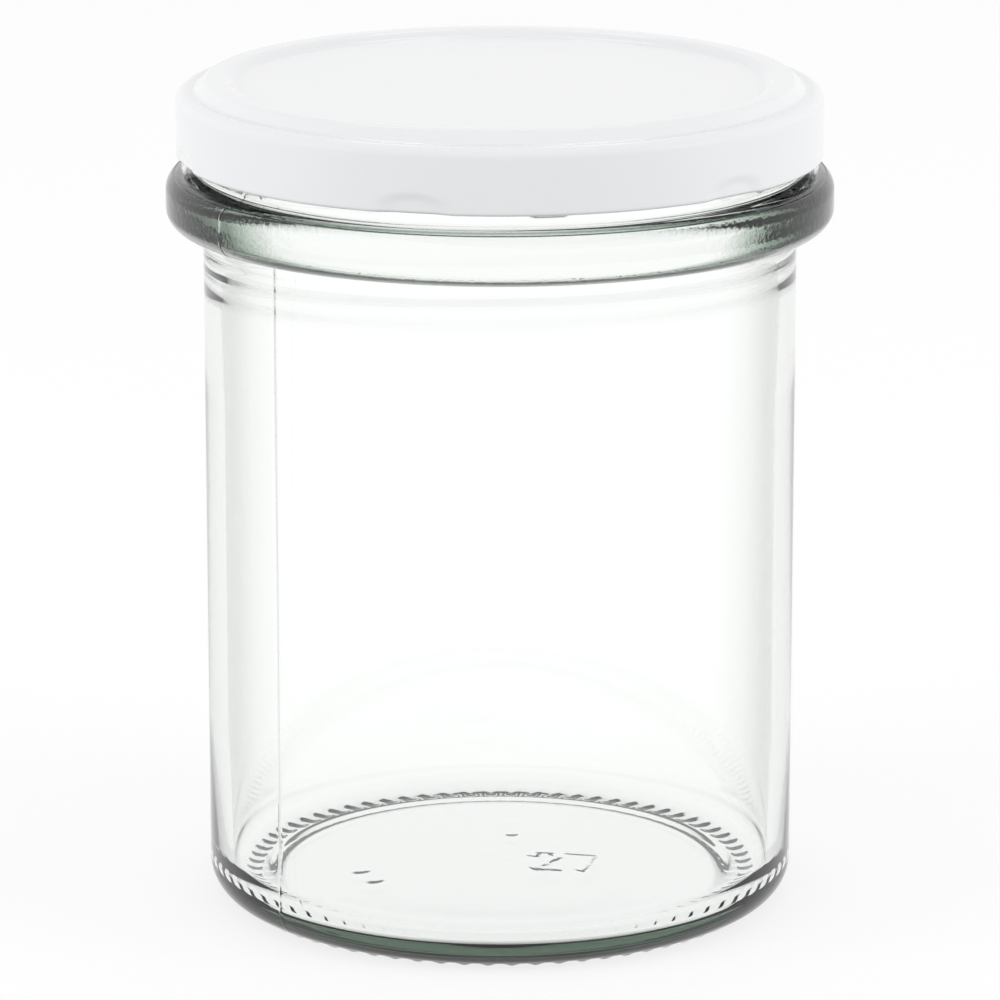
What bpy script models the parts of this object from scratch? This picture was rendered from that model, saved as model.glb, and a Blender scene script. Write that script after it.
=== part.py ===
"""Straight-sided glass jar with a transfer bead and a white six-lug twist-off cap.

The jar stands on Z = 0 at the tips of its knurls, with its axis on Z. The front of the jar faces -Y.
Three pieces: the moulded glass jar, the gasket in the cap's channel, and the pressed tinplate cap.
The cap is shown seated, with its six lugs in the gaps between the six glass threads.
Angles are in degrees, turning from the front towards +X.
"""

import math

import bmesh
import bpy
from mathutils import Matrix, Vector

mm = 0.001

# Jar body and base
jar_height = 108.8 * mm
body_radius = 38.95 * mm
glass_wall = 2.6 * mm
heel_width = 4.2 * mm
heel_height = 4.4 * mm
bearing_width = 2.5 * mm
push_up = 1.9 * mm
push_up_bevel = 1.1 * mm
floor_thickness = 2.5 * mm
corner_thickness = 2.6 * mm
floor_fillet = 4.7 * mm
jar_steps = 72

# Knurls under the bearing ring
knurl_count = 72
knurl_height = 0.35 * mm
knurl_root = 0.4 * mm
knurl_width = 1.5 * mm
knurl_inset = 0.05 * mm
knurl_tip_width = 0.7 * mm
knurl_tip_inset = 0.45 * mm
knurl_outwards = 0.8 * mm  # from the middle of the ring

# Mouth of the jar
finish_step = 0.9 * mm
rim_round = 0.8 * mm

# Gasket in the cap's channel
seat_clearance = 0.25 * mm
gasket_thickness = 0.9 * mm
gasket_inner_overhang = 0.35 * mm
gasket_edge = 0.3 * mm

# Cap
plate = 0.2 * mm
cap_height = 10.2 * mm
panel_drop = 0.9 * mm
panel_slope = 1.9 * mm
crest_inset = 0.55 * mm
crest_half_width = 1.35 * mm
shoulder_drop = 1.5 * mm
shoulder_slope = 1.2 * mm
shoulder_round = 1.4 * mm
curl_diameter = 1.0 * mm
curl_sweep = 225.0
cap_steps = 72

# Lugs pressed into the foot of the cap's skirt
lug_count = 6
lug_angle = -15.0
lug_half_angle = 7.5
lug_flat_share = 0.45
lug_clearance = 0.35 * mm
lug_rise = 2.5 * mm

# Glass threads, each with a stop at its low end
thread_count = 6
thread_projection = 1.25 * mm
thread_root = 0.8 * mm
thread_width = 1.7 * mm
thread_clearance = 0.3 * mm
thread_lug_gap = 0.35 * mm
thread_rise = 0.95 * mm
thread_stop_drop = 0.55 * mm
thread_low_angle = 6.0
thread_stop_angle = 11.5
thread_turn_angle = 14.5
thread_high_angle = 37.0
thread_taper_angle = 1.8
thread_end_share = 0.4

# Transfer bead below the cap
bead_gap = 1.8 * mm
bead_height = 7.2 * mm
bead_projection = 4.85 * mm
bead_top_round = 2.6 * mm
bead_bottom_round = 2.4 * mm
bead_fillet = 0.7 * mm

# Places that follow from the sizes above
bore_radius = body_radius - glass_wall
finish_radius = body_radius + finish_step
thread_radius = finish_radius + thread_projection
bead_radius = body_radius + bead_projection
bearing_outer = body_radius - heel_width
bearing_inner = bearing_outer - bearing_width

gasket_bottom = jar_height + seat_clearance
gasket_top = gasket_bottom + gasket_thickness
cap_top = gasket_top + seat_clearance + plate
cap_bottom = cap_top - cap_height
cap_radius = thread_radius + thread_clearance + curl_diameter
curl_radius = curl_diameter / 2
curl_middle = cap_bottom + curl_radius
lug_depth = cap_radius - curl_diameter - finish_radius - lug_clearance

thread_low_z = cap_bottom - thread_stop_drop + thread_width / 2
thread_turn_z = cap_bottom + curl_diameter + thread_lug_gap + thread_width / 2
thread_high_z = thread_turn_z + thread_rise
bead_top = cap_bottom - bead_gap
bead_bottom = bead_top - bead_height

weld_distance = 0.001 * mm


def clear_scene():
    for obj in list(bpy.data.objects):
        bpy.data.objects.remove(obj, do_unlink=True)


def new_collection(name):
    made = bpy.data.collections.new(name)
    bpy.context.scene.collection.children.link(made)
    return made


def material(name, color, roughness, transmission=0.0, ior=1.5):
    made = bpy.data.materials.new(name)
    made.use_nodes = True
    shader = made.node_tree.nodes["Principled BSDF"]
    shader.inputs["Base Color"].default_value = (*color, 1.0)
    shader.inputs["Roughness"].default_value = roughness
    shader.inputs["Transmission Weight"].default_value = transmission
    shader.inputs["IOR"].default_value = ior
    made.diffuse_color = (*color, 1.0)
    return made


def arc(middle_r, middle_z, radius_r, radius_z, start, end, steps):
    """Points of an elliptical arc in the profile's plane, with its angles in degrees."""
    turns = [math.radians(start + (end - start) * i / steps) for i in range(steps + 1)]
    return [(middle_r + radius_r * math.cos(t), middle_z + radius_z * math.sin(t)) for t in turns]


def inset(points, distance):
    """An open outline moved to its lower side, square to each stretch, with its corners mitred."""
    normals = []
    for (r0, z0), (r1, z1) in zip(points, points[1:]):
        length = math.hypot(r1 - r0, z1 - z0)
        normals.append(((z1 - z0) / length, (r0 - r1) / length))
    moved = []
    for (r, z), (a_r, a_z), (b_r, b_z) in zip(points, normals[:1] + normals, normals + normals[-1:]):
        mitre = distance / (1 + a_r * b_r + a_z * b_z)
        moved.append((r + (a_r + b_r) * mitre, z + (a_z + b_z) * mitre))
    return moved


def turned(name, points, steps, home):
    """A body or sheet turned about Z from a profile of (radius, height) points."""
    mesh = bpy.data.meshes.new(name)
    edges = [(i, i + 1) for i in range(len(points) - 1)]
    mesh.from_pydata([(r, 0.0, z) for r, z in points], edges, [])
    obj = bpy.data.objects.new(name, mesh)
    home.objects.link(obj)
    screw = obj.modifiers.new("turn", "SCREW")
    screw.steps = steps
    screw.render_steps = steps
    screw.use_merge_vertices = True
    screw.merge_threshold = weld_distance
    return obj


def applied(obj):
    """The same object with its modifiers turned into mesh, and doubled points welded."""
    graph = bpy.context.evaluated_depsgraph_get()
    mesh = bpy.data.meshes.new_from_object(obj.evaluated_get(graph))
    shape = bmesh.new()
    shape.from_mesh(mesh)
    bmesh.ops.remove_doubles(shape, verts=shape.verts, dist=weld_distance)
    bmesh.ops.recalc_face_normals(shape, faces=shape.faces)
    shape.to_mesh(mesh)
    shape.free()
    obj.modifiers.clear()
    obj.data = mesh
    return obj


def add_helper(name, shape, home):
    """A shape that is joined to the glass, kept out of the render."""
    bmesh.ops.recalc_face_normals(shape, faces=shape.faces)
    mesh = bpy.data.meshes.new(name)
    shape.to_mesh(mesh)
    shape.free()
    obj = bpy.data.objects.new(name, mesh)
    obj.hide_render = True
    obj.display_type = "WIRE"
    home.objects.link(obj)


def at_angle(radius, angle, height):
    turn = math.radians(angle)
    return Vector((radius * math.sin(turn), -radius * math.cos(turn), height))


def jar_profile():
    """From the middle of the floor, up the bore, over the rim, down the outside and under the base."""
    glass_bottom = knurl_height
    recess_edge = glass_bottom + push_up_bevel
    recess_top = glass_bottom + push_up
    recess_radius = bearing_inner - push_up_bevel
    floor_edge = glass_bottom + corner_thickness
    floor_top = recess_top + floor_thickness
    floor_radius = bore_radius - floor_fillet
    crown_share = 0.6
    points = [(0.0, floor_top)]
    points.append((floor_radius * crown_share, floor_top + (floor_edge - floor_top) * crown_share**2))
    points += arc(floor_radius, floor_edge + floor_fillet, floor_fillet, floor_fillet, -90, 0, 5)

    points += arc(bore_radius + rim_round, jar_height - rim_round, rim_round, rim_round, 180, 90, 2)
    points += arc(finish_radius - rim_round, jar_height - rim_round, rim_round, rim_round, 90, 0, 2)

    neck_r = finish_radius + bead_fillet
    points += arc(neck_r, bead_top + bead_fillet, bead_fillet, bead_fillet, 180, 270, 2)
    upper_r = bead_radius - bead_top_round
    points += arc(upper_r, bead_top - bead_top_round, bead_top_round, bead_top_round, 90, 0, 4)
    lower_r = bead_radius - bead_bottom_round
    points += arc(lower_r, bead_bottom + bead_bottom_round, bead_bottom_round, bead_bottom_round, 0, -90, 4)
    under_r = body_radius + bead_fillet
    points += arc(under_r, bead_bottom - bead_fillet, bead_fillet, bead_fillet, 90, 180, 2)

    points += arc(bearing_outer, glass_bottom + heel_height, heel_width, heel_height, 0, -90, 5)
    points += [(bearing_inner, glass_bottom), (recess_radius, recess_edge)]
    points.append((recess_radius * crown_share, recess_top + (recess_edge - recess_top) * crown_share**2))
    points.append((0.0, recess_top))
    return points


def thread_path():
    """Angle, height and share of the full projection at each station of a thread."""
    path = [
        (thread_low_angle, thread_low_z, thread_end_share),
        (thread_low_angle + thread_taper_angle, thread_low_z, 1.0),
        (thread_stop_angle, thread_low_z, 1.0),
    ]
    run_shares = (0.0, 0.3, 0.6, 0.87, 1.0)
    for share in run_shares:
        angle = thread_turn_angle + (thread_high_angle - thread_turn_angle) * share
        height = thread_turn_z + (thread_high_z - thread_turn_z) * share
        path.append((angle, height, thread_end_share if share == run_shares[-1] else 1.0))
    return path


def make_threads(home):
    """Ridges with a half-round face. A lug slides in under the high end, and comes to rest at the stop."""
    half = thread_width / 2
    face = arc(0.0, 0.0, thread_projection, half, -70, 70, 4)
    shape = bmesh.new()
    for n in range(thread_count):
        rings = []
        for angle, height, share in thread_path():
            section = [(-thread_root, -half)] + [(out * share, up) for out, up in face] + [(-thread_root, half)]
            turn = angle + n * 360 / thread_count
            ring = [shape.verts.new(at_angle(finish_radius + out, turn, height + up)) for out, up in section]
            rings.append(ring)
        for ring, following in zip(rings, rings[1:]):
            for i in range(len(ring)):
                j = (i + 1) % len(ring)
                shape.faces.new((ring[i], ring[j], following[j], following[i]))
        shape.faces.new(rings[0])
        shape.faces.new(rings[-1])
    add_helper("threads", shape, home)


def make_knurls(home):
    """Small radial bars with flat tips, sunk into the bearing ring."""
    middle = (bearing_outer + bearing_inner) / 2 + knurl_outwards
    root_length = bearing_width - 2 * knurl_inset
    tip_length = bearing_width - 2 * knurl_tip_inset
    shape = bmesh.new()
    for n in range(knurl_count):
        made = bmesh.ops.create_cube(shape, size=1.0)["verts"]
        for vert in made:
            at_tip = vert.co.z < 0
            width = knurl_tip_width if at_tip else knurl_width
            length = tip_length if at_tip else root_length
            height = 0.0 if at_tip else knurl_height + knurl_root
            vert.co = Vector((vert.co.x * width, vert.co.y * length - middle, height))
        turn = Matrix.Rotation(2 * math.pi * (n + 0.5) / knurl_count, 4, "Z")
        bmesh.ops.transform(shape, matrix=turn, verts=made)
    add_helper("knurls", shape, home)


def make_jar(parts, helpers):
    jar = turned("glass_jar", jar_profile(), jar_steps, parts)
    make_threads(helpers)
    make_knurls(helpers)
    join = jar.modifiers.new("threads and knurls", "BOOLEAN")
    join.operation = "UNION"
    join.operand_type = "COLLECTION"
    join.collection = helpers
    join.solver = "EXACT"
    jar.data.materials.append(material("clear soda-lime glass", (0.80, 0.87, 0.83), 0.02, 1.0, 1.52))


def cap_contour():
    """The cap's outer surface from its middle to the top of its skirt."""
    rim_middle = (bore_radius + finish_radius) / 2
    crest_middle = rim_middle - crest_inset
    crest_inner = crest_middle - crest_half_width
    crest_outer = crest_middle + crest_half_width
    panel_z = cap_top - panel_drop
    shoulder_z = cap_top - shoulder_drop
    panel_radius = crest_inner - panel_slope
    round_radius = cap_radius - shoulder_round
    shoulder_inner = min(crest_outer + shoulder_slope, round_radius)
    near_share = 0.88
    crest_share = 0.5
    points = [(0.0, panel_z), (panel_radius, panel_z)]
    points.append((panel_radius + panel_slope * near_share, panel_z + panel_drop * near_share))
    points.append((crest_middle - crest_half_width * crest_share, cap_top))
    points.append((crest_middle + crest_half_width * crest_share, cap_top))
    points.append((crest_outer, cap_top - shoulder_drop * (1 - near_share)))
    points.append((shoulder_inner, shoulder_z))
    points += arc(round_radius, shoulder_z - shoulder_round, shoulder_round, shoulder_round, 70, 0, 3)
    return points


def cap_profile():
    """The contour carried down the skirt and round the curl at its foot."""
    skirt_shares = (1.0, 0.65, 0.3)
    points = cap_contour()
    points += [(cap_radius, curl_middle + lug_rise * share) for share in skirt_shares]
    points += arc(cap_radius - curl_radius, curl_middle, curl_radius, curl_radius, 0, -curl_sweep, 5)
    return points


def press_lugs(mesh):
    """Moves the foot of the skirt and its curl inwards under each lug's arch."""
    pitch = 360 / lug_count
    for vert in mesh.vertices:
        radius = math.hypot(vert.co.x, vert.co.y)
        if vert.co.z > curl_middle + lug_rise or radius < finish_radius:
            continue
        angle = math.degrees(math.atan2(vert.co.x, -vert.co.y)) - lug_angle
        across = (angle - pitch * round(angle / pitch)) / lug_half_angle
        on_skirt = radius > cap_radius - curl_radius
        up = max(0.0, vert.co.z - curl_middle) / lug_rise if on_skirt else 0.0
        away = (math.hypot(across, up) - lug_flat_share) / (1 - lug_flat_share)
        away = min(1.0, max(0.0, away))
        pressed = 1 - away * away * (3 - 2 * away)
        scale = (radius - lug_depth * pressed) / radius
        vert.co.x *= scale
        vert.co.y *= scale


def make_cap(parts):
    cap = applied(turned("lid_shell", cap_profile(), cap_steps, parts))
    press_lugs(cap.data)
    sheet = cap.modifiers.new("sheet", "SOLIDIFY")
    sheet.thickness = plate
    sheet.offset = -1.0
    sheet.use_even_offset = True
    cap.data.materials.append(material("white lacquered tinplate", (0.86, 0.86, 0.88), 0.22))


def make_gasket(parts):
    """A ring moulded in the channel. Its top follows the cap's underside down to the gasket's low outer face."""
    inner = bore_radius - gasket_inner_overhang
    edge_z = gasket_bottom + gasket_edge
    ceiling = inset(cap_contour(), plate + seat_clearance)
    stretches = list(zip(ceiling, ceiling[1:]))
    (r0, z0), (r1, z1) = next(pair for pair in stretches if pair[0][0] <= inner < pair[1][0])
    points = [(inner, z0 + (z1 - z0) * (inner - r0) / (r1 - r0))]
    points += [(r, z) for r, z in ceiling if r > inner and z > edge_z]
    (r0, z0), (r1, z1) = next(pair for pair in stretches if pair[0][1] > edge_z >= pair[1][1])
    outer = r0 + (r1 - r0) * (z0 - edge_z) / (z0 - z1)
    points += [(outer, edge_z), (outer, gasket_bottom), (inner, gasket_bottom)]
    gasket = turned("lid_gasket", points + points[:1], jar_steps, parts)
    gasket.data.materials.append(material("plastisol", (0.83, 0.82, 0.78), 0.55))


def main():
    clear_scene()
    parts = new_collection("glass jar")
    helpers = new_collection("shapes joined to the glass")
    make_jar(parts, helpers)
    make_gasket(parts)
    make_cap(parts)


main()
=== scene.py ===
import math

import bpy
import numpy as np
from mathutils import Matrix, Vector


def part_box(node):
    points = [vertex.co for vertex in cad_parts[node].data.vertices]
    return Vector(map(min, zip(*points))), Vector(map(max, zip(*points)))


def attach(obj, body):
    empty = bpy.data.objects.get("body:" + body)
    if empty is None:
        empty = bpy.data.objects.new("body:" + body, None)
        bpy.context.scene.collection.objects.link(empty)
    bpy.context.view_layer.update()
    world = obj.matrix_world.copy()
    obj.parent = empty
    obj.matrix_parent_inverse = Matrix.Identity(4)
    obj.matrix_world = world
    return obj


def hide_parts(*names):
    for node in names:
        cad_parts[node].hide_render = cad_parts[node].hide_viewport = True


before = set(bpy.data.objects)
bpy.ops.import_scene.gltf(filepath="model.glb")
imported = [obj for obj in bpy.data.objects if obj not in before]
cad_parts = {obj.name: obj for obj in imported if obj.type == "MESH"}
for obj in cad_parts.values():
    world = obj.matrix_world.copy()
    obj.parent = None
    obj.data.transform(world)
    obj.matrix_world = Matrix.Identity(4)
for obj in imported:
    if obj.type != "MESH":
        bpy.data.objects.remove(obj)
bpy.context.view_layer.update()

mm = 0.001

jarHigh = np.array(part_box("glass_jar")[1])
capLow, capHigh = [np.array(corner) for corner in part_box("lid_shell")]
gasketLow, gasketHigh = [np.array(corner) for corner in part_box("lid_gasket")]


# Colours and nodes

def linearColor(hexCode):
    # sRGB hex to linear: below 0.04045 divided by 12.92, above it ((c + 0.055) / 1.055) to the power 2.4
    channels = [int(hexCode[i:i + 2], 16) / 255 for i in (1, 3, 5)]
    return tuple(c / 12.92 if c <= 0.04045 else ((c + 0.055) / 1.055) ** 2.4 for c in channels) + (1.0,)


def addNode(tree, kind, inputs=None, **settings):
    # a node with its settings, each input either a fixed value or a link from another node's output
    node = tree.nodes.new(kind)
    for name, value in settings.items():
        setattr(node, name, value)
    for name, value in (inputs or {}).items():
        if isinstance(name, int):
            socket = node.inputs[name]
        else:
            # a Mix node has its sockets once for each kind of value, and only one set is enabled
            socket = [entry for entry in node.inputs if entry.name == name and entry.enabled][0]
        if isinstance(value, bpy.types.NodeSocket):
            tree.links.new(value, socket)
        else:
            socket.default_value = value
    return node


def newMaterial(name):
    material = bpy.data.materials.new(name)
    material.use_nodes = True
    tree = material.node_tree
    tree.nodes.clear()
    return material, tree, tree.nodes.new("ShaderNodeOutputMaterial")


def setRamp(ramp, stops):
    # stops are (place, colour) pairs, the first two reusing the ramp's own
    elements = ramp.color_ramp.elements
    while len(elements) < len(stops):
        elements.new(0.5)
    for element, (place, color) in zip(elements, stops):
        element.position = place
        element.color = color


# Mesh from grids

def smoothStep(value):
    # 3t^2 - 2t^3, with t held between 0 and 1
    t = np.clip(value, 0.0, 1.0)
    return t * t * (3 - 2 * t)


def arcLine(middle, radii, start, end, count):
    # an elliptical arc from one angle to the other in degrees, without its last point
    turn = np.radians(np.linspace(start, end, count, endpoint=False))
    return np.column_stack((middle[0] + radii[0] * np.cos(turn), middle[1] + radii[1] * np.sin(turn)))


def straightLine(start, end, count):
    # evenly spaced points from start towards end, without the last
    share = np.linspace(0.0, 1.0, count, endpoint=False)[:, None]
    return np.array(start) + (np.array(end) - np.array(start)) * share


def domeLine(outer, inner, count):
    # half a cosine wave from (r0, z0) to (r1, z1), level at both ends, without its last point
    share = np.linspace(0.0, 1.0, count, endpoint=False)
    radius = outer[0] + (inner[0] - outer[0]) * share
    height = outer[1] + (inner[1] - outer[1]) * (0.5 - 0.5 * np.cos(np.pi * share))
    return np.column_stack((radius, height))


def joinSections(sections, lastPoint):
    # stacks named stretches of an outline into one, and says which rows each of them has
    rows, places, start = [], {}, 0
    for name, points in sections.items():
        places[name] = slice(start, start + len(points))
        start += len(points)
        rows.append(points)
    return np.vstack(rows + [np.array([lastPoint])]), places


def turnedMesh(name, radius, height, angle, poles, shares=None):
    # radius and height are rows x columns; angle runs from the front towards +X; x = r sin a, y = -r cos a
    # shares are named weights, for each row or each point, that the material reads as attributes
    x, y = radius * np.sin(angle), -radius * np.cos(angle)
    points = np.stack((x, y, height), axis=-1)
    rows, columns = radius.shape
    if poles:
        inner = points[1:-1].reshape(-1, 3)
        vertices = np.vstack((inner, points[0, :1], points[-1, :1]))
        ids = np.arange(len(inner)).reshape(rows - 2, columns)
    else:
        vertices = points.reshape(-1, 3)
        ids = np.arange(len(vertices)).reshape(rows, columns)
        ids = np.vstack((ids, ids[:1]))
    after = np.roll(ids, -1, axis=1)
    quads = np.stack((ids[:-1], ids[1:], after[1:], after[:-1]), axis=-1).reshape(-1, 4)
    faces = quads.tolist()
    if poles:
        first, last = len(inner), len(inner) + 1
        faces += np.column_stack((np.full(columns, first), ids[0], after[0])).tolist()
        faces += np.column_stack((ids[-1], np.full(columns, last), after[-1])).tolist()
    mesh = bpy.data.meshes.new(name)
    mesh.from_pydata(vertices.tolist(), [], faces)
    mesh.shade_smooth()
    for share, weights in (shares or {}).items():
        weights = np.broadcast_to(weights if weights.ndim == 2 else weights[:, None], radius.shape)
        values = np.append(weights[1:-1], (weights[0, 0], weights[-1, 0])) if poles else weights.ravel()
        mesh.attributes.new(share, "FLOAT", "POINT").data.foreach_set("value", values)
    piece = bpy.data.objects.new(name, mesh)
    bpy.context.scene.collection.objects.link(piece)
    return piece


def ringAngles(columns, close=(), spread=0.0, extra=7):
    # evenly spaced angles, with some extra ones beside each of the angles given in degrees, and none twice
    even = np.linspace(-np.pi, np.pi, columns, endpoint=False)
    near = [wrapped(math.radians(turn)) + np.linspace(-spread, spread, extra) for turn in close]
    return np.unique(np.round(np.concatenate([even] + near), 7))[None, :]


def wrapped(angle):
    # an angle brought between minus and plus half a turn
    return (angle + np.pi) % (2 * np.pi) - np.pi


# The glass jar

jarSizes = {
    "wall": 2.6 * mm,
    "beadProjection": 4.85 * mm,
    "finishStep": 0.9 * mm,
    "rimRound": 0.8 * mm,
    "beadGap": 1.8 * mm,
    "beadHeight": 7.2 * mm,
    "beadTopRound": 2.6 * mm,
    "beadBottomRound": 2.4 * mm,
    "beadFillet": 0.7 * mm,
    "heelWidth": 4.2 * mm,
    "heelHeight": 4.4 * mm,
    "bearingWidth": 2.5 * mm,
    "knurlHeight": 0.35 * mm,
    "knurlCount": 72,
    "knurlReach": 2.2 * mm,
    "knurlOutwards": 0.8 * mm,
    "knurlCurve": 0.85 * mm,
    "knurlSharpness": 1.25,  # 1 is a plain wave round the ring, and more leaves gaps between the knurls
    "threadClear": 4.0 * mm,  # plain glass from the rim's top down to the band of the threads
    "partingAngle": 54.0,  # where the mould's neck ring ends on the bead, in degrees up its top round
    "partingSpread": 1.5,
    "partingStep": 0.1 * mm,
    "boreWave": 0.035 * mm,
    "boreWaveLengths": (17 * mm, 29 * mm),
    "windingShare": 0.6,
    "rippleMiddle": 88.0 * mm,
    "rippleSpread": 3.4 * mm,
    "rippleReach": (3.2, 1.6),  # fine rows below and above the middle, in spreads
    "rippleLength": 3.6 * mm,
    "rippleHeight": 0.2 * mm,
    "rippleDrifts": (1.2 * mm, 0.5 * mm),
    "shoulderBulge": 0.55 * mm,
    "slopeWidth": 3.6 * mm,
    "slopeHeight": 0.7 * mm,
    "pushUp": 1.9 * mm,
    "pushUpPoints": 200,  # on the curve that the rows of the recess are read from
    "floorThickness": 2.5 * mm,
    "cornerThickness": 2.6 * mm,
    "floorFillet": 4.7 * mm,
    "columns": 504,
}

threadSizes = {
    "count": 6,
    "projection": 1.25 * mm,
    "width": 1.7 * mm,
    "lugGap": 0.35 * mm,
    "curlDiameter": 1.0 * mm,
    "stopDrop": 0.55 * mm,
    "rise": 0.95 * mm,
    "leadAngle": 1.0,  # the ridge starts so far before its low angle, and swells over the ramp's angle
    "rampAngle": 1.6,
    "lowAngle": 6.0,
    "stopAngle": 11.5,
    "turnAngle": 14.5,
    "highAngle": 37.0,
    "taperAngle": 3.0,
}

seamSizes = {
    "height": 0.12 * mm,
    "width": 0.16 * mm,
    "backShare": 0.08,
    "lowShare": 0.4,  # of its height up to fadeStart, and all of it after fadeLength more
    "fadeStart": 45 * mm,
    "fadeLength": 45 * mm,
    "bodyAngle": -47.4,
    "beadAngle": -54.5,
    "finishAngle": -49.6,
}

markSizes = {
    "height": 0.12 * mm,
    "stroke": 0.55 * mm,
    "digitWidth": 3.2 * mm,
    "digitHeight": 6.4 * mm,
    "digitStep": 5.0 * mm,
    "middle": (8.5 * mm, -2.5 * mm),
    "ring": (0.72, 0.12),  # the marks lie between these shares of the recess's radius
    "rows": 34,
    "dotRadius": 0.9 * mm,
    "dotEdge": 1.3,  # where a dot ends, in its radii
    "dots": ((-18.5 * mm, -4.5 * mm), (-16.5 * mm, -8.5 * mm), (-17.0 * mm, 15.0 * mm), (1.5 * mm, 9.0 * mm)),
}

# strokes of plain block digits, as shares of a digit's width and height from its middle
digitShares = {
    "2": ((-0.5, 0.25), (-0.3, 0.5), (0.3, 0.5), (0.5, 0.22), (-0.5, -0.5), (0.5, -0.5)),
    "7": ((-0.5, 0.5), (0.5, 0.5), (-0.1, -0.5)),
}

# how much of each tint and painted shade the rows of the jar's outline take, from the first row of a stretch
# to its last:
# a smooth step holds the numbers between 0 and 1, so the heel is full from about its third row
shadeTintRows = {
    "innerWall": {"boreLow": (1, 1), "boreRipple": (1, 1), "boreHigh": (1, 1)},
    "outerWall": {"finish": (1, 1), "threadBand": (1, 1), "body": (1, 1)},
    "beadGlass": {"beadTop": (-0.6, 1.2), "parting": (1, 1), "beadUpper": (1, 1), "beadLower": (1, 0.4)},
    "heelGlass": {"heel": (0, 11)},
}


def jarOutline(sizes):
    # from the floor's middle, up the bore, over the rim, down the outside and under the base to the middle
    beadRadius = jarHigh[0]
    top = jarHigh[2]
    bodyRadius = beadRadius - sizes["beadProjection"]
    bore = bodyRadius - sizes["wall"]
    finish = bodyRadius + sizes["finishStep"]
    rim = sizes["rimRound"]
    threadTop = top - sizes["threadClear"]
    beadTop = capLow[2] - sizes["beadGap"]
    beadBottom = beadTop - sizes["beadHeight"]
    upper, lower, fillet = sizes["beadTopRound"], sizes["beadBottomRound"], sizes["beadFillet"]
    upperMiddle = (beadRadius - upper, beadTop - upper)
    lowerMiddle = (beadRadius - lower, beadBottom + lower)
    bottom = sizes["knurlHeight"]
    bearingOuter = bodyRadius - sizes["heelWidth"]
    bearingInner = bearingOuter - sizes["bearingWidth"]
    heelTop = bottom + sizes["heelHeight"]
    recessRadius = bearingInner - sizes["slopeWidth"]
    recessEdge = bottom + sizes["slopeHeight"]
    recessTop = bottom + sizes["pushUp"]
    floorTop = recessTop + sizes["floorThickness"]
    floorEdge = bottom + sizes["cornerThickness"]
    floorFillet = sizes["floorFillet"]
    floorRadius = bore - floorFillet
    filletTop = floorEdge + floorFillet
    markOuter, markInner = [recessRadius * share for share in markSizes["ring"]]
    step = upper - sizes["partingStep"]
    partingHigh = sizes["partingAngle"] + sizes["partingSpread"]
    partingLow = sizes["partingAngle"] - sizes["partingSpread"]
    rippleLow = sizes["rippleMiddle"] - sizes["rippleReach"][0] * sizes["rippleSpread"]
    rippleHigh = sizes["rippleMiddle"] + sizes["rippleReach"][1] * sizes["rippleSpread"]

    dome = domeLine((recessRadius, recessEdge), (0.0, recessTop), sizes["pushUpPoints"])

    def domeStretch(start, end, count):
        radius = np.linspace(start, end, count, endpoint=False)
        return np.column_stack((radius, np.interp(radius, dome[::-1, 0], dome[::-1, 1])))

    # the last number in each is its count of rows
    sections = {
        "floor": domeLine((0.0, floorTop), (floorRadius, floorEdge), 6),
        "floorFillet": arcLine((floorRadius, filletTop), (floorFillet, floorFillet), -90, 0, 8),
        "boreLow": straightLine((bore, filletTop), (bore, rippleLow), 4),
        "boreRipple": straightLine((bore, rippleLow), (bore, rippleHigh), 24),
        "boreHigh": straightLine((bore, rippleHigh), (bore, top - rim), 1),
        "rimInner": arcLine((bore + rim, top - rim), (rim, rim), 180, 90, 4),
        "rimOuter": arcLine((finish - rim, top - rim), (rim, rim), 90, 0, 4),
        "finish": straightLine((finish, top - rim), (finish, threadTop), 1),
        "threadBand": straightLine((finish, threadTop), (finish, beadTop + fillet), 22),
        "neck": arcLine((finish + fillet, beadTop + fillet), (fillet, fillet), 180, 270, 4),
        "beadTop": arcLine(upperMiddle, (step, step), 90, partingHigh, 5),
        "parting": arcLine(upperMiddle, (step, step), partingHigh, partingLow, 2),
        "beadUpper": arcLine(upperMiddle, (upper, upper), sizes["partingAngle"], 0, 9),
        "beadLower": arcLine(lowerMiddle, (lower, lower), 0, -90, 9),
        "beadUnder": straightLine((lowerMiddle[0], beadBottom), (bodyRadius + fillet, beadBottom), 1),
        "shoulder": arcLine((bodyRadius + fillet, beadBottom - fillet), (fillet, fillet), 90, 180, 4),
        "body": straightLine((bodyRadius, beadBottom - fillet), (bodyRadius, heelTop), 4),
        "heel": arcLine((bearingOuter, heelTop), (sizes["heelWidth"], sizes["heelHeight"]), 0, -90, 17),
        "bearing": straightLine((bearingOuter, bottom), (bearingInner, bottom), 7),
        "slope": domeLine((bearingInner, bottom), (recessRadius, recessEdge), 7),
        "recess": domeStretch(recessRadius, markOuter, 3),
        "marks": domeStretch(markOuter, markInner, markSizes["rows"]),
        "middle": domeStretch(markInner, 0.0, 1),
    }
    outline, places = joinSections(sections, (0.0, recessTop))
    return outline, places, {"body": bodyRadius, "bearing": (bearingInner, bearingOuter)}


def threadHeight(angle, sizes):
    # the middle of the ridge: level over the stop, up a short ramp, then a gentle rise to the high end
    half = sizes["width"] / 2
    low = capLow[2] - sizes["stopDrop"] + half
    turn = capLow[2] + sizes["curlDiameter"] + sizes["lugGap"] + half
    stations = [sizes["lowAngle"], sizes["stopAngle"], sizes["turnAngle"], sizes["highAngle"]]
    return np.interp(angle, stations, [low, low, turn, turn + sizes["rise"]])


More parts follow.
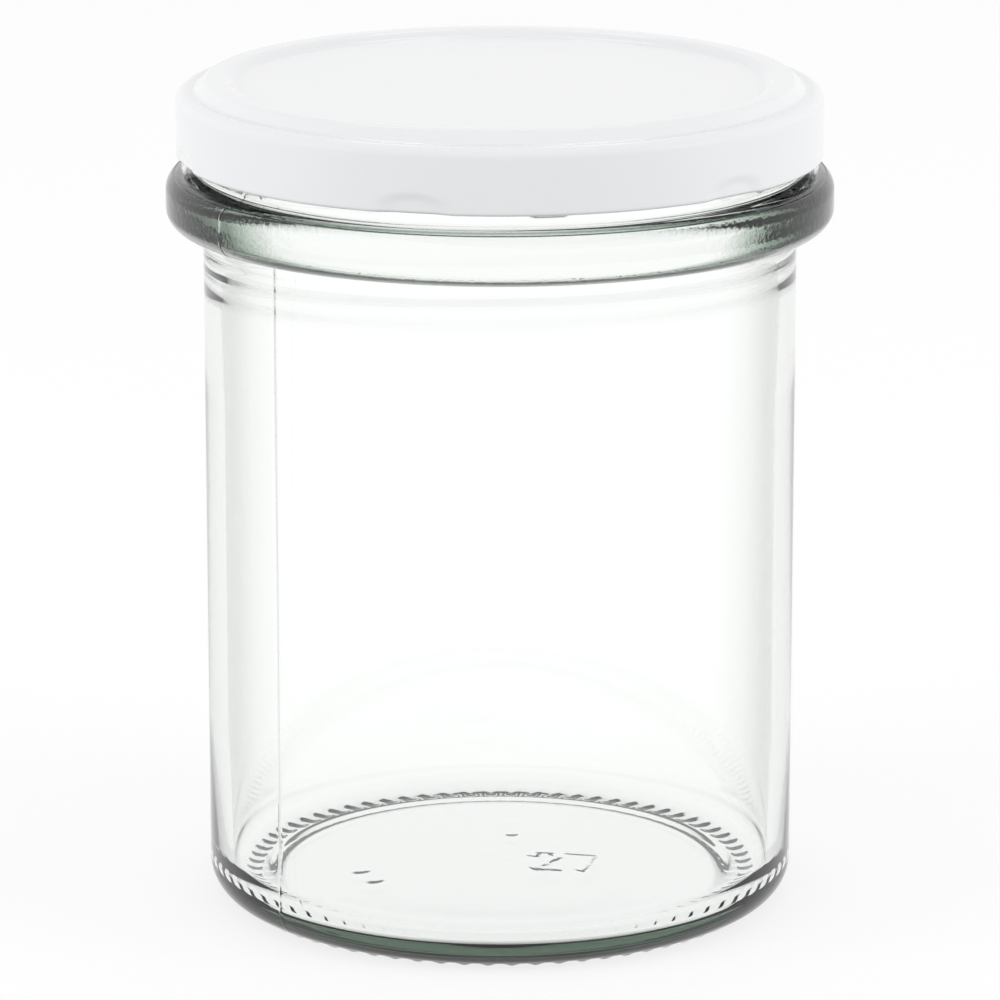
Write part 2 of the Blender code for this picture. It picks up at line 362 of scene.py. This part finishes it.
def threadRelief(height, angle, sizes):
    # projection x half-round face across the ridge x ramps at both ends
    pitch = 360 / sizes["count"]
    turn = np.degrees(angle) % pitch
    middle = threadHeight(turn, sizes)
    across = (height - middle) / (sizes["width"] / 2)
    face = np.sqrt(np.clip(1 - across**2, 0.0, 1.0))
    ends = smoothStep((turn - sizes["lowAngle"] + sizes["leadAngle"]) / sizes["rampAngle"])
    ends = ends * smoothStep((sizes["highAngle"] - turn) / sizes["taperAngle"])
    return sizes["projection"] * face * ends


def seamShape(radius, angle, seamAngle, sizes):
    # two thin ridges half a turn apart, the second one lower: exp(-(distance / width)^2)
    total = np.zeros(radius.shape)
    for turn, share in ((seamAngle, 1.0), (seamAngle + 180, sizes["backShare"])):
        distance = wrapped(angle - math.radians(turn)) * radius
        total += share * np.exp(-((distance / sizes["width"]) ** 2))
    return total


def wavyBore(height, angle, sizes):
    # the bore is never quite true: three waves round it x a wave up it, and five weaker ones that wind up it
    upright, winding = sizes["boreWaveLengths"]
    waves = np.sin(3 * angle + 0.7) * np.sin(height / upright)
    return sizes["boreWave"] * (waves + sizes["windingShare"] * np.sin(5 * angle + height / winding))


def shoulderRipple(height, angle, sizes):
    # the wall thickens and ripples behind the shoulder: bell curve x (bulge + wave), drifting up and down
    # round the jar
    first, second = sizes["rippleDrifts"]
    drift = first * np.sin(angle + 0.6) + second * np.sin(2 * angle + 2.0)
    offset = height - sizes["rippleMiddle"] - drift
    wave = sizes["rippleHeight"] * np.cos(2 * np.pi * offset / sizes["rippleLength"])
    return np.exp(-((offset / sizes["rippleSpread"]) ** 4)) * (sizes["shoulderBulge"] + wave)


def knurlRelief(radius, height, angle, bearing, sizes):
    # rounded pulses round the ring x the depth from the glass down to a shallow cup-shaped line
    wave = 0.5 + 0.5 * np.cos(sizes["knurlCount"] * angle + np.pi)
    pulse = np.clip(sizes["knurlSharpness"] * (wave - 1) + 1, 0.0, 1.0)
    middle = (bearing[0] + bearing[1]) / 2 + sizes["knurlOutwards"]
    line = sizes["knurlCurve"] * np.abs((radius - middle) / sizes["knurlReach"]) ** 3
    return pulse * np.maximum(height - line, 0.0)


def strokeRelief(x, y, start, end, half):
    # 1 on the line from start to end, falling smoothly to 0 at one stroke's half width
    run = np.array(end) - np.array(start)
    along = ((x - start[0]) * run[0] + (y - start[1]) * run[1]) / (run @ run)
    along = np.clip(along, 0.0, 1.0)
    distance = np.hypot(x - start[0] - along * run[0], y - start[1] - along * run[1])
    return smoothStep(1 - distance / half)


def markRelief(radius, angle, sizes):
    # raised mould dots and a plain number, read from above through the base
    x, y = radius * np.sin(angle), -radius * np.cos(angle)
    relief = np.zeros(x.shape)
    for dotX, dotY in sizes["dots"]:
        distance = np.hypot(x - dotX, y - dotY)
        relief = np.maximum(relief, smoothStep(sizes["dotEdge"] - distance / sizes["dotRadius"]))
    for place, digit in enumerate("27"):
        middleX = sizes["middle"][0] + (place - 0.5) * sizes["digitStep"]
        corners = [
            (middleX + u * sizes["digitWidth"], sizes["middle"][1] + v * sizes["digitHeight"])
            for u, v in digitShares[digit]
        ]
        for start, end in zip(corners, corners[1:]):
            relief = np.maximum(relief, strokeRelief(x, y, start, end, sizes["stroke"]))
    return sizes["height"] * relief


def makeJar():
    outline, places, radii = jarOutline(jarSizes)
    seamAngles = [seamSizes[name] for name in ("bodyAngle", "beadAngle", "finishAngle")]
    turns = [turn + half for turn in seamAngles for half in (0, 180)]
    angle = ringAngles(jarSizes["columns"], turns, 2 * seamSizes["width"] / radii["body"])
    columns = angle.shape[1]
    radius = np.repeat(outline[:, :1], columns, axis=1)
    height = np.repeat(outline[:, 1:], columns, axis=1)

    rows = slice(places["floorFillet"].start, places["boreHigh"].stop)
    radius[rows] += wavyBore(height[rows], angle, jarSizes)
    rows = places["boreRipple"]
    radius[rows] -= shoulderRipple(height[rows], angle, jarSizes)
    rows = places["threadBand"]
    radius[rows] += threadRelief(height[rows], angle, threadSizes)

    seams = np.zeros(radius.shape)
    for seamAngle, names in (
        (seamSizes["finishAngle"], ("finish", "threadBand")),
        (seamSizes["beadAngle"], ("neck", "beadTop", "parting", "beadUpper", "beadLower")),
        (seamSizes["bodyAngle"], ("body", "heel")),
    ):
        for name in names:
            seams[places[name]] = seamShape(radius[places[name]], angle, seamAngle, seamSizes)
    rise = smoothStep((height - seamSizes["fadeStart"]) / seamSizes["fadeLength"])
    seams *= seamSizes["lowShare"] + (1 - seamSizes["lowShare"]) * rise
    radius += seamSizes["height"] * seams

    rows = slice(places["heel"].start, places["slope"].stop)
    height[rows] -= knurlRelief(radius[rows], height[rows], angle, radii["bearing"], jarSizes)
    rows = places["marks"]
    height[rows] -= markRelief(radius[rows], angle, markSizes)
    height = np.maximum(height, 0.0)  # no knurl goes below the ground, and no seam past the bead
    radius = np.minimum(radius, jarHigh[0])

    shares = {"seamLine": seams}
    for shadedTint, stretches in shadeTintRows.items():
        shares[shadedTint] = np.zeros(len(outline))
        for name, (first, last) in stretches.items():
            rows = places[name]
            shares[shadedTint][rows] = smoothStep(np.linspace(first, last, rows.stop - rows.start))
    jar = turnedMesh("jarGlass", radius, height, angle, poles=True, shares=shares)
    jar.data.materials.append(sodaLimeGlass())
    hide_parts("glass_jar")
    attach(jar, "jar")
    print("jar glass:", len(jar.data.polygons), "faces")


# Flint glass, blown in a mould: clear, and a little green where light runs far through it, with painted shade
# that greys it towards its edges and darkens the bead's ends and the heel to a deep green
glassFinish = {
    "ior": 1.52,
    "roughness": 0.0,
    "shadeTints": {  # painted shade: each goes one way, from face on to edge on, standing in for the dark that the glass refracts at its edges
        "outerWall": ((0.47, "#FFFFFF"), (0.57, "#F0F1F0"), (1.0, "#E9EAE9")),
        "innerWall": ((0.42, "#FFFFFF"), (0.6, "#E6E7E6"), (0.78, "#C8C9C8"), (1.0, "#C2C3C2")),
        # partly the glass's own green and partly painted shade: the bead's ends near black when seen edge on
        "beadGlass": (
            (0.27, "#FFFFFF"), (0.35, "#A0B3A3"), (0.42, "#46594A"), (0.55, "#1B271F"), (1.0, "#0F1711"),
        ),
        # painted shade: the mould seams greyed, for the thin dark lines that their ridges refract
        "seamLine": ((0.0, "#C4C6C4"), (1.0, "#B0B2B0")),
    },
    "heelShadeTint": "#2C3A30",  # partly the green of thick glass, mostly painted shade: the heel's outer face darkened for the dark band that the thick base refracts
    "absorption": "#A9C9AF",
    "absorptionDensity": 14.0,  # per metre of glass
    "beadGrain": 0.7 * mm,
    "beadRelief": 0.04 * mm,
}


def sodaLimeGlass():
    material, tree, output = newMaterial("Soda lime glass")
    finish = glassFinish
    facing = addNode(tree, "ShaderNodeLayerWeight", {"Blend": 0.5}).outputs["Facing"]
    place = addNode(tree, "ShaderNodeTexCoord")
    grain = addNode(tree, "ShaderNodeTexNoise", {
        "Vector": place.outputs["Object"], "Scale": 1 / finish["beadGrain"], "Detail": 1.0,
    })
    shadeTints = {}
    # painted shade: each ramp darkens the glass by how edge on it is seen
    for name, stops in finish["shadeTints"].items():
        ramp = addNode(tree, "ShaderNodeValToRGB", {"Fac": facing})
        setRamp(ramp, [(stop, linearColor(color)) for stop, color in stops])
        shadeTints[name] = ramp.outputs["Color"]
    shares = {
        name: addNode(tree, "ShaderNodeAttribute", attribute_name=name).outputs["Fac"]
        for name in (*finish["shadeTints"], "heelGlass")
    }
    shadedTint = linearColor("#FFFFFF")
    for name in finish["shadeTints"]:
        shadedTint = addNode(tree, "ShaderNodeMix", {
            "Factor": shares[name], "A": shadedTint, "B": shadeTints[name],
        }, data_type="RGBA").outputs[2]
    # painted shade: the heel's dark green goes only where a ray meets it from outside, so the far heel seen
    # through the base stays clear
    outside = addNode(tree, "ShaderNodeMath", {
        0: shares["heelGlass"], 1: addNode(tree, "ShaderNodeNewGeometry").outputs["Backfacing"],
    }, operation="SUBTRACT", use_clamp=True)
    shadedTint = addNode(tree, "ShaderNodeMix", {
        "Factor": outside.outputs[0], "A": shadedTint, "B": linearColor(finish["heelShadeTint"]),
    }, data_type="RGBA").outputs[2]
    bump = addNode(tree, "ShaderNodeBump", {  # the bead's skin is a little grained
        "Strength": shares["beadGlass"], "Distance": finish["beadRelief"], "Height": grain.outputs["Fac"],
    })
    shader = addNode(tree, "ShaderNodeBsdfPrincipled", {
        "Base Color": shadedTint, "Roughness": finish["roughness"], "IOR": finish["ior"],
        "Transmission Weight": 1.0, "Normal": bump.outputs["Normal"],
    })
    body = addNode(tree, "ShaderNodeVolumeAbsorption", {
        "Color": linearColor(finish["absorption"]), "Density": finish["absorptionDensity"],
    })
    tree.links.new(shader.outputs["BSDF"], output.inputs["Surface"])
    tree.links.new(body.outputs["Volume"], output.inputs["Volume"])
    return material


# The cap: one pressed sheet with a curl at its foot

capSizes = {
    "plate": 0.2 * mm,
    "panelDrop": 0.9 * mm,
    "panelRadius": 34.3 * mm,
    "panelSlope": 1.9 * mm,
    "crestHalfWidth": 1.35 * mm,
    "crestRound": 0.7 * mm,
    "shoulderDrop": 1.5 * mm,
    "shoulderSlope": 1.2 * mm,
    "shoulderRound": 1.4 * mm,
    "valleyDepth": 0.08 * mm,
    "curlDiameter": 1.0 * mm,
    "curlSweep": 300.0,
    "lugCount": 6,
    "lugAngle": -15.0,
    "lugHalfAngle": 7.5,
    "lugFlatShare": 0.45,
    "lugDepth": 1.2 * mm,
    "lugOuterShare": 0.3,
    "lugRise": 2.5 * mm,
    "footShare": 1.1,  # the fine rows of the skirt's foot, as a share of the lugs' rise
    "columns": 480,
}


def capOutline(sizes):
    # the outer face from the middle of the panel, over the ring and shoulder, down the skirt, round the curl
    top, bottom, outer = capHigh[2], capLow[2], capHigh[0]
    panelZ = top - sizes["panelDrop"]
    crestInner = sizes["panelRadius"] + sizes["panelSlope"]
    crestOuter = crestInner + 2 * sizes["crestHalfWidth"]
    crestEnd = (crestOuter - sizes["crestRound"], top)
    shoulderZ = top - sizes["shoulderDrop"]
    valley = (crestOuter + sizes["shoulderSlope"], shoulderZ - sizes["valleyDepth"])
    shoulderRound = sizes["shoulderRound"]
    roundMiddle = (outer - shoulderRound, shoulderZ - shoulderRound)
    curl = sizes["curlDiameter"] / 2
    curlMiddle = (outer - curl, bottom + curl)
    skirtTop = curlMiddle[1] + sizes["lugRise"] * sizes["footShare"]
    sections = {
        "panel": straightLine((0.0, panelZ), (sizes["panelRadius"], panelZ), 4),
        "slope": domeLine((sizes["panelRadius"], panelZ), (crestInner, top), 12),
        "crest": straightLine((crestInner, top), crestEnd, 4),
        "shoulderSlope": domeLine(crestEnd, valley, 14),
        "shoulder": domeLine(valley, (roundMiddle[0], shoulderZ), 6),
        "round": arcLine(roundMiddle, (shoulderRound, shoulderRound), 90, 0, 12),
        "skirt": straightLine((outer, roundMiddle[1]), (outer, skirtTop), 3),
        "foot": straightLine((outer, skirtTop), (outer, curlMiddle[1]), 14),
        "curl": arcLine(curlMiddle, (curl, curl), 0, -sizes["curlSweep"], 22),
    }
    turn = math.radians(-sizes["curlSweep"])
    curlEnd = (curlMiddle[0] + curl * math.cos(turn), curlMiddle[1] + curl * math.sin(turn))
    return joinSections(sections, curlEnd)


def offsetInwards(outline, distance):
    # each point moved square to the outline, to the side that faces the axis and the ground
    run = np.gradient(outline, axis=0)
    run /= np.linalg.norm(run, axis=1)[:, None]
    inwards = np.column_stack((run[:, 1], -run[:, 0]))
    moved = outline + inwards * distance
    moved[0, 0] = 0.0
    return moved


def lugPress(radius, height, angle, sizes):
    # the curl is squeezed inwards into a lug, and the skirt follows a little: full in a flat middle, then a
    # smooth fall to 0 at the arch's edge, x a share that grows from the skirt to the curl's inner side
    pitch = 2 * np.pi / sizes["lugCount"]
    curl = sizes["curlDiameter"] / 2
    turn = angle - math.radians(sizes["lugAngle"])
    across = (turn - pitch * np.round(turn / pitch)) / math.radians(sizes["lugHalfAngle"])
    onSkirt = radius > capHigh[0] - curl
    up = np.where(onSkirt, np.maximum(height - capLow[2] - curl, 0.0) / sizes["lugRise"], 0.0)
    away = (np.hypot(across, up) - sizes["lugFlatShare"]) / (1 - sizes["lugFlatShare"])
    inwards = np.clip((capHigh[0] - radius) / sizes["curlDiameter"], 0.0, 1.0)
    share = sizes["lugOuterShare"] + (1 - sizes["lugOuterShare"]) * inwards
    return sizes["lugDepth"] * share * (1 - smoothStep(away))


def makeCap():
    outline, places = capOutline(capSizes)
    inner = offsetInwards(outline, capSizes["plate"])
    angle = ringAngles(capSizes["columns"])
    foot = slice(places["foot"].start, len(outline))
    press = np.zeros((len(outline), angle.shape[1]))
    press[foot] = lugPress(outline[foot, :1], outline[foot, 1:], angle, capSizes)
    outerRadius, innerRadius = outline[:, :1] - press, inner[:, :1] - press
    ones = np.ones_like(angle)
    radius = np.vstack((outerRadius, innerRadius[::-1]))
    height = np.vstack((outline[:, 1:] * ones, (inner[:, 1:] * ones)[::-1]))
    radius[0] = radius[-1] = 0.0
    cap = turnedMesh("capShell", radius, height, angle, poles=True)
    cap.data.materials.append(lacqueredTinplate())
    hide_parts("lid_shell")
    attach(cap, "lid")
    print("cap:", len(cap.data.polygons), "faces")


# Tinplate under a stoved white lacquer: an even, slightly soft gloss with a faint orange peel
lacquerFinish = {
    "color": "#F3F4F6",
    "roughness": 0.3,
    "peelSize": 1.6 * mm,
    "peelRelief": 0.004 * mm,
    "coat": 1.0,
    "coatRoughness": 0.1,
}


def lacqueredTinplate():
    material, tree, output = newMaterial("White lacquered tinplate")
    finish = lacquerFinish
    place = addNode(tree, "ShaderNodeTexCoord")
    peel = addNode(tree, "ShaderNodeTexNoise", {
        "Vector": place.outputs["Object"], "Scale": 1 / finish["peelSize"], "Detail": 1.0,
    })
    bump = addNode(tree, "ShaderNodeBump", {
        "Strength": 1.0, "Distance": finish["peelRelief"], "Height": peel.outputs["Fac"],
    })
    shader = addNode(tree, "ShaderNodeBsdfPrincipled", {
        "Base Color": linearColor(finish["color"]), "Roughness": finish["roughness"],
        "Coat Weight": finish["coat"], "Coat Roughness": finish["coatRoughness"],
        "Normal": bump.outputs["Normal"],
    })
    tree.links.new(shader.outputs["BSDF"], output.inputs["Surface"])
    return material


# The gasket: plastisol flowed into the cap's channel

gasketSizes = {
    "round": 0.25 * mm,
    "inwards": 0.35 * mm,  # how far it reaches in past the glass
    "columns": 288,
}


def makeGasket():
    # a flat-bottomed ring whose top follows the cap's underside
    outer = gasketHigh[0]
    inner = jarHigh[0] - jarSizes["beadProjection"] - jarSizes["wall"] - gasketSizes["inwards"]
    low = gasketLow[2]
    gap = capHigh[2] - gasketHigh[2]
    outline, _ = capOutline(capSizes)
    edge = gasketSizes["round"]
    skin = offsetInwards(outline, gap)
    lid = skin[(skin[:, 0] > inner) & (skin[:, 0] < outer) & (skin[:, 1] > low + edge)]
    foot = np.array([(outer, low + edge), (outer - edge, low), (inner + edge, low), (inner, low + edge)])
    section = np.vstack((lid, foot))
    angle = ringAngles(gasketSizes["columns"])
    ones = np.ones_like(angle)
    ring = turnedMesh("capGasket", section[:, :1] * ones, section[:, 1:] * ones, angle, poles=False)
    ring.data.materials.append(plastisol())
    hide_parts("lid_gasket")
    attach(ring, "lid_seal")
    print("gasket:", len(ring.data.polygons), "faces")


# Plastisol: soft PVC, off-white and dull
plastisolFinish = {
    "color": "#EDEBE4",
    "roughness": 0.55,
    "grain": 0.5 * mm,
    "grainRelief": 0.01 * mm,
}


def plastisol():
    material, tree, output = newMaterial("Plastisol")
    finish = plastisolFinish
    place = addNode(tree, "ShaderNodeTexCoord")
    grain = addNode(tree, "ShaderNodeTexNoise", {
        "Vector": place.outputs["Object"], "Scale": 1 / finish["grain"], "Detail": 2.0,
    })
    bump = addNode(tree, "ShaderNodeBump", {
        "Strength": 1.0, "Distance": finish["grainRelief"], "Height": grain.outputs["Fac"],
    })
    shader = addNode(tree, "ShaderNodeBsdfPrincipled", {
        "Base Color": linearColor(finish["color"]), "Roughness": finish["roughness"],
        "Normal": bump.outputs["Normal"],
    })
    tree.links.new(shader.outputs["BSDF"], output.inputs["Surface"])
    return material


# Floor, world, lamps and camera

studio = {
    "floorSize": 6.0,
    "floorColor": "#898989",
    "floorGlow": 0.785,  # what the camera and a gloss see of the floor, over its own shaded colour
    "floorThroughGlass": 0.84,  # what is seen of it through the glass
    "floorBounce": 0.34,  # and what it sends back up to the jar
    "ambient": 0.69,
    "backdropColor": "#FFFFFF",
    "backdrop": 1.0,
}

softbox = {"size": (0.5, 0.6), "power": 3.3, "inGloss": False}
strip = {"size": (0.2, 0.12), "power": 0.15, "inGloss": True}
lamps = {
    "softbox at the left": {"place": (-0.9, -0.4, 0.35), **softbox},
    "softbox at the right": {"place": (0.92, -0.35, 0.35), **softbox},
    "strip above, left": {"place": (-0.2, 0.65, 1.0), **strip},
    "strip above, right": {"place": (0.16, 0.65, 1.0), **strip},
}

cameraSizes = {
    "place": (0.0, -763 * mm, 248 * mm),
    "pitch": 14.32,
    "focal": 5.927,  # focal length as a share of the picture's width
    "sensor": 36.0,
}


def seenShare(tree, path):
    # 1 for a ray from the camera, off a gloss or through glass, otherwise 0
    first = addNode(tree, "ShaderNodeMath", {
        0: path.outputs["Is Camera Ray"], 1: path.outputs["Is Glossy Ray"],
    }, operation="MAXIMUM")
    return addNode(tree, "ShaderNodeMath", {
        0: first.outputs[0], 1: path.outputs["Is Transmission Ray"],
    }, operation="MAXIMUM").outputs[0]


def makeFloor():
    half = studio["floorSize"] / 2
    corners = [(-half, -half, 0), (half, -half, 0), (half, half, 0), (-half, half, 0)]
    mesh = bpy.data.meshes.new("floor")
    mesh.from_pydata(corners, [], [(0, 1, 2, 3)])
    floor = bpy.data.objects.new("floor", mesh)
    bpy.context.scene.collection.objects.link(floor)
    material, tree, output = newMaterial("Matt white floor")
    path = addNode(tree, "ShaderNodeLightPath")
    matt = addNode(tree, "ShaderNodeBsdfDiffuse", {"Color": linearColor(studio["floorColor"])})
    direct = addNode(tree, "ShaderNodeMix", {
        "Factor": seenShare(tree, path), "A": studio["floorBounce"], "B": studio["floorGlow"],
    })
    strength = addNode(tree, "ShaderNodeMix", {
        "Factor": path.outputs["Is Transmission Ray"],
        "A": direct.outputs[0], "B": studio["floorThroughGlass"],
    })
    glow = addNode(tree, "ShaderNodeEmission", {"Strength": strength.outputs[0]})
    both = addNode(tree, "ShaderNodeAddShader", {0: matt.outputs[0], 1: glow.outputs[0]})
    tree.links.new(both.outputs[0], output.inputs["Surface"])
    mesh.materials.append(material)


def makeWorld():
    world = bpy.data.worlds.new("Studio")
    world.use_nodes = True
    bpy.context.scene.world = world
    tree = world.node_tree
    tree.nodes.clear()
    output = tree.nodes.new("ShaderNodeOutputWorld")
    path = addNode(tree, "ShaderNodeLightPath")
    level = addNode(tree, "ShaderNodeMix", {
        "Factor": seenShare(tree, path), "A": studio["ambient"], "B": studio["backdrop"],
    })
    background = addNode(tree, "ShaderNodeBackground", {
        "Color": linearColor(studio["backdropColor"]), "Strength": level.outputs[0],
    })
    tree.links.new(background.outputs[0], output.inputs["Surface"])


def makeLamps():
    target = Vector((0.0, 0.0, jarHigh[2] / 2))
    for name, values in lamps.items():
        light = bpy.data.lights.new(name, "AREA")
        light.shape = "RECTANGLE"
        light.size, light.size_y = values["size"]
        light.energy = values["power"]
        lamp = bpy.data.objects.new(name, light)
        bpy.context.scene.collection.objects.link(lamp)
        lamp.visible_glossy = values["inGloss"]
        lamp.visible_transmission = False
        lamp.location = values["place"]
        lamp.rotation_euler = (Vector(values["place"]) - target).to_track_quat("Z", "Y").to_euler()


def makeCamera():
    data = bpy.data.cameras.new("camera")
    data.sensor_width = cameraSizes["sensor"]
    data.lens = cameraSizes["focal"] * cameraSizes["sensor"]
    camera = bpy.data.objects.new("camera", data)
    bpy.context.scene.collection.objects.link(camera)
    camera.location = cameraSizes["place"]
    camera.rotation_euler = (math.radians(90 - cameraSizes["pitch"]), 0.0, 0.0)
    bpy.context.scene.camera = camera


makeJar()
makeCap()
makeGasket()
makeFloor()
makeWorld()
makeLamps()
makeCamera()
bpy.context.scene.view_settings.view_transform = "Standard"
print("floor, lamps and camera set")
